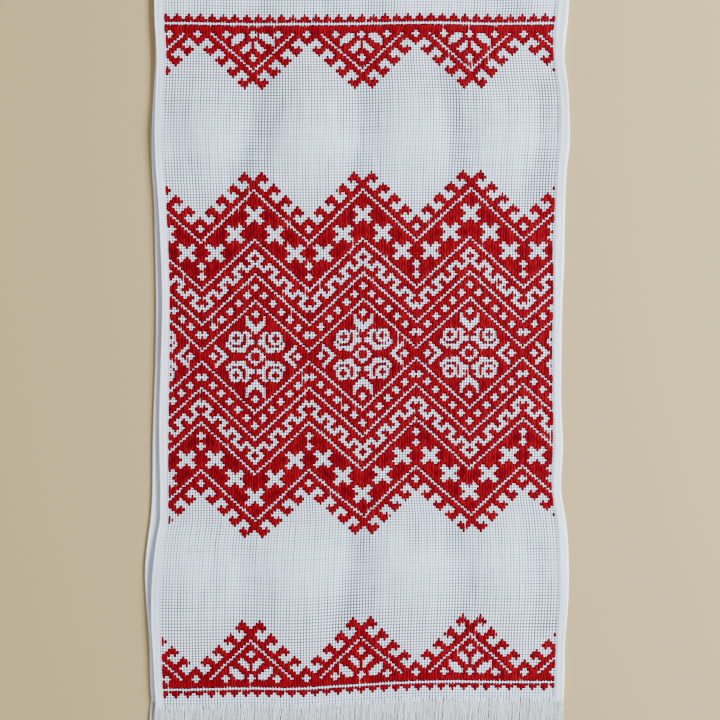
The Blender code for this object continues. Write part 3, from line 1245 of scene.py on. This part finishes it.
def make_canvas_group():
    """Furrows and holes from a column and a row: 1 in a furrow's middle, 0 on the pads."""
    outputs = ("Hole", "ColumnFurrow", "RowFurrow")
    tree, given, out = new_group("canvas_grid", ("Column", "Row"), outputs)
    column, row = given["Column"], given["Row"]
    from_column = off(tree, calculate(tree, "FRACT", column), 0.5)
    from_row = off(tree, calculate(tree, "FRACT", row), 0.5)
    farther = calculate(tree, "MAXIMUM", from_column, from_row)
    column_furrow = furrow(tree, column, row, from_column, COLUMN_FURROW_FADE, COLUMN_OPENNESS)
    row_furrow = furrow(tree, row, column, from_row, ROW_FURROW_FADE, ROW_OPENNESS)
    tree.links.new(fade(tree, farther, *HOLE_FADE), out["Hole"])
    tree.links.new(column_furrow, out["ColumnFurrow"])
    tree.links.new(row_furrow, out["RowFurrow"])
    return tree


canvas_group = make_canvas_group()
print("group:", canvas_group.name, "nodes:", len(canvas_group.nodes))

# %% [markdown]
# Along the sides the cloth is turned over twice and hemmed. The turned part hides the grid, and
# what shows there are its own lengthwise threads, the furrow along its inner edge and the seam
# of the second turn. Near the stitching the yarn pulls the holes open, and in the last rows
# before the fringe the wefts have been drawn out.

# %% Group: hems, stitched bands and loose ends
# The stitched bands of both ends: their middle rows, and how many rows they reach.
STITCHED_BANDS = tuple(
    (middle, reach)
    for lower in ((12.0, 15.0), (121.0, 65.0), (230.0, 17.0))
    for middle, reach in (lower, (ROWS_IN_ALL - lower[0], lower[1]))
)
STITCHED_INSIDE = 12.0
STITCHED_FALL = 26.0
# The fades that follow are in columns outside the ground, and the last one in rows.
TURNED_FADE = (0.0, 1.1)
INNER_SEAM_FADE = (0.06, 0.3)
OUTER_SEAM_PLACE = 2.55
OUTER_SEAM_FADE = (0.05, 0.4)
OUTER_SEAM_SHARE = 0.6
LOOSENED_FADE = (FIRST_ROW + 0.6, 1.6)


def make_places_group():
    """Masks over the towel: turned hem, its outer roll, its seams, stitched bands, drawn ends."""
    outputs = ("Turned", "Roll", "Seam", "Stitched", "Loosened")
    tree, given, out = new_group("towel_places", ("Column", "Row"), outputs)
    row = given["Row"]
    outside = calculate(tree, "SUBTRACT", off(tree, given["Column"], COLUMNS / 2), COLUMNS / 2)
    tree.links.new(opposite(tree, fade(tree, outside, *TURNED_FADE)), out["Turned"])
    tree.links.new(opposite(tree, fade(tree, outside, *ROLL_STEP)), out["Roll"])
    inner_seam = fade(tree, calculate(tree, "ABSOLUTE", outside), *INNER_SEAM_FADE)
    outer_seam = fade(tree, off(tree, outside, OUTER_SEAM_PLACE), *OUTER_SEAM_FADE)
    outer_seam = calculate(tree, "MULTIPLY", outer_seam, OUTER_SEAM_SHARE)
    tree.links.new(calculate(tree, "MAXIMUM", inner_seam, outer_seam), out["Seam"])
    stitched = 0.0
    for middle, reach in STITCHED_BANDS:
        band = fade(tree, off(tree, row, middle), reach - STITCHED_INSIDE, STITCHED_FALL)
        stitched = calculate(tree, "MAXIMUM", band, stitched)
    tree.links.new(stitched, out["Stitched"])
    from_end = calculate(tree, "MINIMUM", row, calculate(tree, "SUBTRACT", ROWS_IN_ALL, row))
    tree.links.new(fade(tree, from_end, *LOOSENED_FADE), out["Loosened"])
    return tree


places_group = make_places_group()
print("group:", places_group.name, "nodes:", len(places_group.nodes))

# %% [markdown]
# The material puts the masks together. How far a place is sunk below the pads darkens it, as
# painted shade in the furrows, holes and seams, and feeds the bump. The creases and the inner
# part of the hems get painted shade as well. The cloth among the stitches is a slightly warmer
# white than the bare bands.

# %% Canvas material
CANVAS_WHITE = (0.81, 0.85, 0.93, 1.0)
WARMER_WHITE = (0.97, 0.85, 0.90, 1.0)
# The grey that sunk places, creases and inner hems are mixed towards: painted shade.
PAINTED_SHADE_GREY = (0.04, 0.045, 0.05, 1.0)
CANVAS_BUMP = (0.4 * MM, 0.7)
# How deep each part of the grid looks, as painted shade and as bump.
ROW_DEPTH = 0.82
COLUMN_DEPTH = 0.9
DRAWN_END_DEPTH = 0.8
SEAM_DEPTH = 0.25
HEM_THREAD_DEPTH = 0.3
# How much the holes are pulled open by the stitches and in patches of loose weave, and how much more
# they darken in creases, as painted shade.
STITCH_PULL = 0.6
CREASE_SHADE_IN_HOLES = 0.15
PATCH_PULL = 0.17
PATCH_NOISE = (14.0, 2.0)
PATCH_CUT = 0.42
PATCH_GAIN = 4.0
# Painted shade: how much darker the creases and the inner part of the hems are.
CREASE_PAINTED_SHADE = 0.13
INNER_TURN_PAINTED_SHADE = 0.16
# How much of the warmer white goes in among the stitches.
WARMER_SHARE = 0.7


def sunk_grid(tree, grid, places, crease):
    """How deep a place in the ground looks: the deeper of its two furrows, plus the holes, which
    open near stitches and in loose patches and darken in creases as painted shade.
    """
    row_furrow = calculate(tree, "MULTIPLY", grid["RowFurrow"], opposite(tree, places["Loosened"]))
    row_furrow = calculate(tree, "MULTIPLY", row_furrow, ROW_DEPTH)
    column_furrow = calculate(tree, "MULTIPLY", grid["ColumnFurrow"], COLUMN_DEPTH)
    deeper = calculate(tree, "MAXIMUM", row_furrow, column_furrow)
    loose_furrow = calculate(tree, "MULTIPLY", grid["ColumnFurrow"], places["Loosened"])
    deeper = add_share(tree, loose_furrow, DRAWN_END_DEPTH, deeper)
    patches = calculate(tree, "SUBTRACT", noise(tree, object_place(tree), *PATCH_NOISE), PATCH_CUT)
    patches = calculate(tree, "MULTIPLY", patches, PATCH_GAIN, clamp=True)
    # Holes darken more in the creases: painted shade.
    pulled = calculate(tree, "MULTIPLY", crease, CREASE_SHADE_IN_HOLES)
    pulled = add_share(tree, places["Stitched"], STITCH_PULL, pulled)
    pulled = add_share(tree, patches, PATCH_PULL, pulled)
    return add_share(tree, grid["Hole"], pulled, deeper)


def make_canvas_material():
    """White pads with painted shade along the furrows and in the holes, all of them bumped in."""
    material, tree, shader = new_material("white_cotton_canvas", roughness=0.9, specular=0.1)
    column, row, crease = stored_parts(tree, "weave")
    grid = use_group(tree, canvas_group, Column=column, Row=row)
    places = use_group(tree, places_group, Column=column, Row=row)
    sunk = sunk_grid(tree, grid, places, crease)
    sunk = calculate(tree, "MULTIPLY", sunk, opposite(tree, places["Turned"]))
    hem_threads = calculate(
        tree, "MULTIPLY", streaks(tree, column, row, HEM_THREADS_APART), HEM_THREAD_DEPTH,
    )
    sunk = add_share(tree, places["Turned"], hem_threads, sunk)
    sunk = add_share(tree, places["Seam"], SEAM_DEPTH, sunk)
    # Painted shade in the creases.
    shade = add_share(tree, crease, CREASE_PAINTED_SHADE, sunk)
    # The inner part of each hem, outside its roll, is painted darker: painted shade.
    shaded_inner_turn = calculate(tree, "SUBTRACT", places["Turned"], places["Roll"])
    shade = add_share(tree, shaded_inner_turn, INNER_TURN_PAINTED_SHADE, shade, clamp=True)
    warmer = calculate(tree, "MULTIPLY", places["Stitched"], WARMER_SHARE)
    white = mix_colour(tree, warmer, CANVAS_WHITE, WARMER_WHITE)
    # Painted shade: the sunk places, creases and inner hems are mixed towards a grey.
    tree.links.new(mix_colour(tree, shade, white, PAINTED_SHADE_GREY), shader.inputs["Base Color"])
    add_bump(tree, shader, opposite(tree, sunk), *CANVAS_BUMP)
    return material


cloth.data.materials.append(make_canvas_material())
print("material:", cloth.data.materials[0].name)

# %% [markdown]
# ## The red yarn's material
#
# The red yarn is a loose stranded cotton, and dull, with its strands showing as fine ridges.
# Each float carries a random number in its attribute, which makes one stitch a little lighter
# or darker than the next, as dyed yarn is. The middles of long floats are a deeper red, and the
# ends are darkened with painted shade where the yarn dives into its hole.

# %% Yarn material
RED_DEEP = (0.048, 0.0006, 0.002, 1.0)
RED_LIGHT = (0.29, 0.0014, 0.006, 1.0)
# The red that a float's ends turn to in their holes: painted shade.
RED_END_SHADE = (0.03, 0.0006, 0.003, 1.0)
YARN_PLIES = 3.0
YARN_SLANT = 0.35
YARN_BUMP = (0.25 * MM, 0.7)
# How much each of these lightens the red, from deep to light.
TONE_LIGHTENS = 0.2
RIDGE_LIGHTENS = 0.22
CLOUD_LIGHTENS = 0.68
MIDDLE_LIGHTENS = -0.24
CLOUD_NOISE = (160.0, 4.0)
# Fades in rows from a float's nearer end: of what counts as an end, and of the painted shade in its
# hole.
END_FADE = (1.2, 2.5)
END_SHADE_FADE = (0.3, 0.75)


def make_yarn_material():
    """Deep to light red by tone, ridge, cloudy noise and distance from the end, with painted shade
    in a hole.
    """
    material, tree, shader = new_material("red_darning_yarn", roughness=0.8, specular=0.03)
    across_yarn, from_end, tone = stored_parts(tree, "yarn")
    plies = use_group(
        tree, ply_group, Across=across_yarn, Along=from_end, Plies=YARN_PLIES, Slant=YARN_SLANT,
    )
    light = calculate(tree, "MULTIPLY", tone, TONE_LIGHTENS)
    light = add_share(tree, plies["Ridge"], RIDGE_LIGHTENS, light)
    light = add_share(tree, noise(tree, object_place(tree), *CLOUD_NOISE), CLOUD_LIGHTENS, light)
    # Long floats are a deeper red away from their ends.
    middle = opposite(tree, fade(tree, from_end, *END_FADE))
    light = add_share(tree, middle, MIDDLE_LIGHTENS, light, clamp=True)
    colour = mix_colour(tree, light, RED_DEEP, RED_LIGHT)
    # Painted shade where the yarn dives into its hole.
    end_shade = fade(tree, from_end, *END_SHADE_FADE)
    tree.links.new(mix_colour(tree, end_shade, colour, RED_END_SHADE), shader.inputs["Base Color"])
    add_bump(tree, shader, plies["Ridge"], *YARN_BUMP)
    return material


yarn_material = make_yarn_material()
for stitches in (stitches_top, stitches_under):
    stitches.data.materials.append(yarn_material)
print("material:", yarn_material.name)

# %% [markdown]
# ## The fringe's material
#
# Loose threads shade each other, so a fringe looks greyer than the cloth. Its tone runs from
# thread to thread, and the twist of each thread shows as fine rings along it.

# %% Fringe material
THREAD_LIGHT = (0.92, 0.87, 0.86, 1.0)
THREAD_DARK = (0.62, 0.59, 0.59, 1.0)
THREAD_TWISTS = 40.0
TONE_DARKENS = 0.7
TWIST_DARKENS = 0.2
THREAD_BUMP = (0.1 * MM, 0.5)


def make_thread_material():
    """Light to dark cotton by the thread's tone, and a little by the ridges of its twist."""
    material, tree, shader = new_material("loose_cotton_thread", roughness=0.9, specular=0.5)
    tone, along, _ = stored_parts(tree, "strand")
    plies = use_group(tree, ply_group, Across=tone, Along=along, Plies=1.0, Slant=THREAD_TWISTS)
    dark = calculate(tree, "MULTIPLY", tone, TONE_DARKENS)
    dark = add_share(tree, plies["Ridge"], TWIST_DARKENS, dark, clamp=True)
    tree.links.new(mix_colour(tree, dark, THREAD_LIGHT, THREAD_DARK), shader.inputs["Base Color"])
    add_bump(tree, shader, plies["Ridge"], *THREAD_BUMP)
    return material


thread_material = make_thread_material()
for fringe in (fringe_top, fringe_under):
    fringe.data.materials.append(thread_material)
print("material:", thread_material.name)

# %% [markdown]
# ## Joining the frame
#
# The cloth stands for the solid of the cloth, and each fringe for its own. The stitching rides
# along with the cloth that it is worked on. Laid out flat the cloth is 350 mm wide and 1,380 mm
# long without its fringes.

# %% Tell the frame what each piece is
for piece, node in ((cloth, "cloth"), (fringe_top, "fringe_upper"), (fringe_under, "fringe_under")):
    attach(piece, "root")
    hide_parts(node)
for stitches in (stitches_top, stitches_under):
    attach(stitches, "root")

# %% [markdown]
# ## Floor, light and camera
#
# The towel is seen from straight above. Soft light comes from all round, and a broad lamp low
# on the right gives the pillows and the stitches their shape and leaves the left edge in shade.

# %% Floor
FLOOR_SIZE = 6.0
FLOOR_DROP = 0.3 * MM
FLOOR_COLOUR = (0.400, 0.257, 0.114, 1.0)

bpy.ops.mesh.primitive_plane_add(size=FLOOR_SIZE, location=(0.0, 0.0, -FLOOR_DROP))
floor = bpy.context.object
floor.name = "floor"
floor_material, _, floor_shader = new_material("pale_floor", roughness=0.7, specular=0.2)
floor_shader.inputs["Base Color"].default_value = FLOOR_COLOUR
floor.data.materials.append(floor_material)
print("floor:", FLOOR_SIZE, "m wide")

# %% Lamps
# Each lamp: its name, its place (m), its size (m) and its power (W). Both face the origin.
LAMPS = (
    ("key", (2.1, 0.32, 1.38), 0.88, 315.0),
    ("overhead", (-0.2, 0.3, 2.6), 2.5, 22.0),
)
LAMP_COLOUR = (0.69, 0.87, 1.0)

for lamp_name, (lamp_x, lamp_y, lamp_z), lamp_size, lamp_power in LAMPS:
    light = bpy.data.lights.new(lamp_name, "AREA")
    light.color = LAMP_COLOUR
    light.size = lamp_size
    light.energy = lamp_power
    lamp = bpy.data.objects.new(lamp_name, light)
    lamp.location = (lamp_x, lamp_y, lamp_z)
    tip_down = np.arctan2(np.hypot(lamp_x, lamp_y), lamp_z)
    lamp.rotation_euler = (tip_down, 0.0, np.arctan2(lamp_x, -lamp_y))
    bpy.context.scene.collection.objects.link(lamp)
    print("lamp:", lamp_name, lamp_power, "W")

# %% Camera
VIEW_CENTRE = (3.2 * MM, -27.7 * MM)
VIEW_WIDTH = 608.0 * MM
CAMERA_HEIGHT = 1.6
SENSOR = 36.0

# The lens takes in the view's width at the floor.
camera = bpy.data.objects.new("camera", bpy.data.cameras.new("camera"))
camera.data.sensor_width = SENSOR
camera.data.lens = SENSOR * CAMERA_HEIGHT / VIEW_WIDTH
camera.location = (*VIEW_CENTRE, CAMERA_HEIGHT)
bpy.context.scene.collection.objects.link(camera)
bpy.context.scene.camera = camera
print("lens, mm:", round(camera.data.lens, 1))

# %% Light from all round
WORLD_COLOUR = (0.84, 0.89, 0.93, 1.0)
WORLD_STRENGTH = 0.58

world = bpy.data.worlds.new("studio")
world.use_nodes = True
background = world.node_tree.nodes["Background"]
background.inputs["Color"].default_value = WORLD_COLOUR
background.inputs["Strength"].default_value = WORLD_STRENGTH
bpy.context.scene.world = world
print("world strength:", WORLD_STRENGTH)
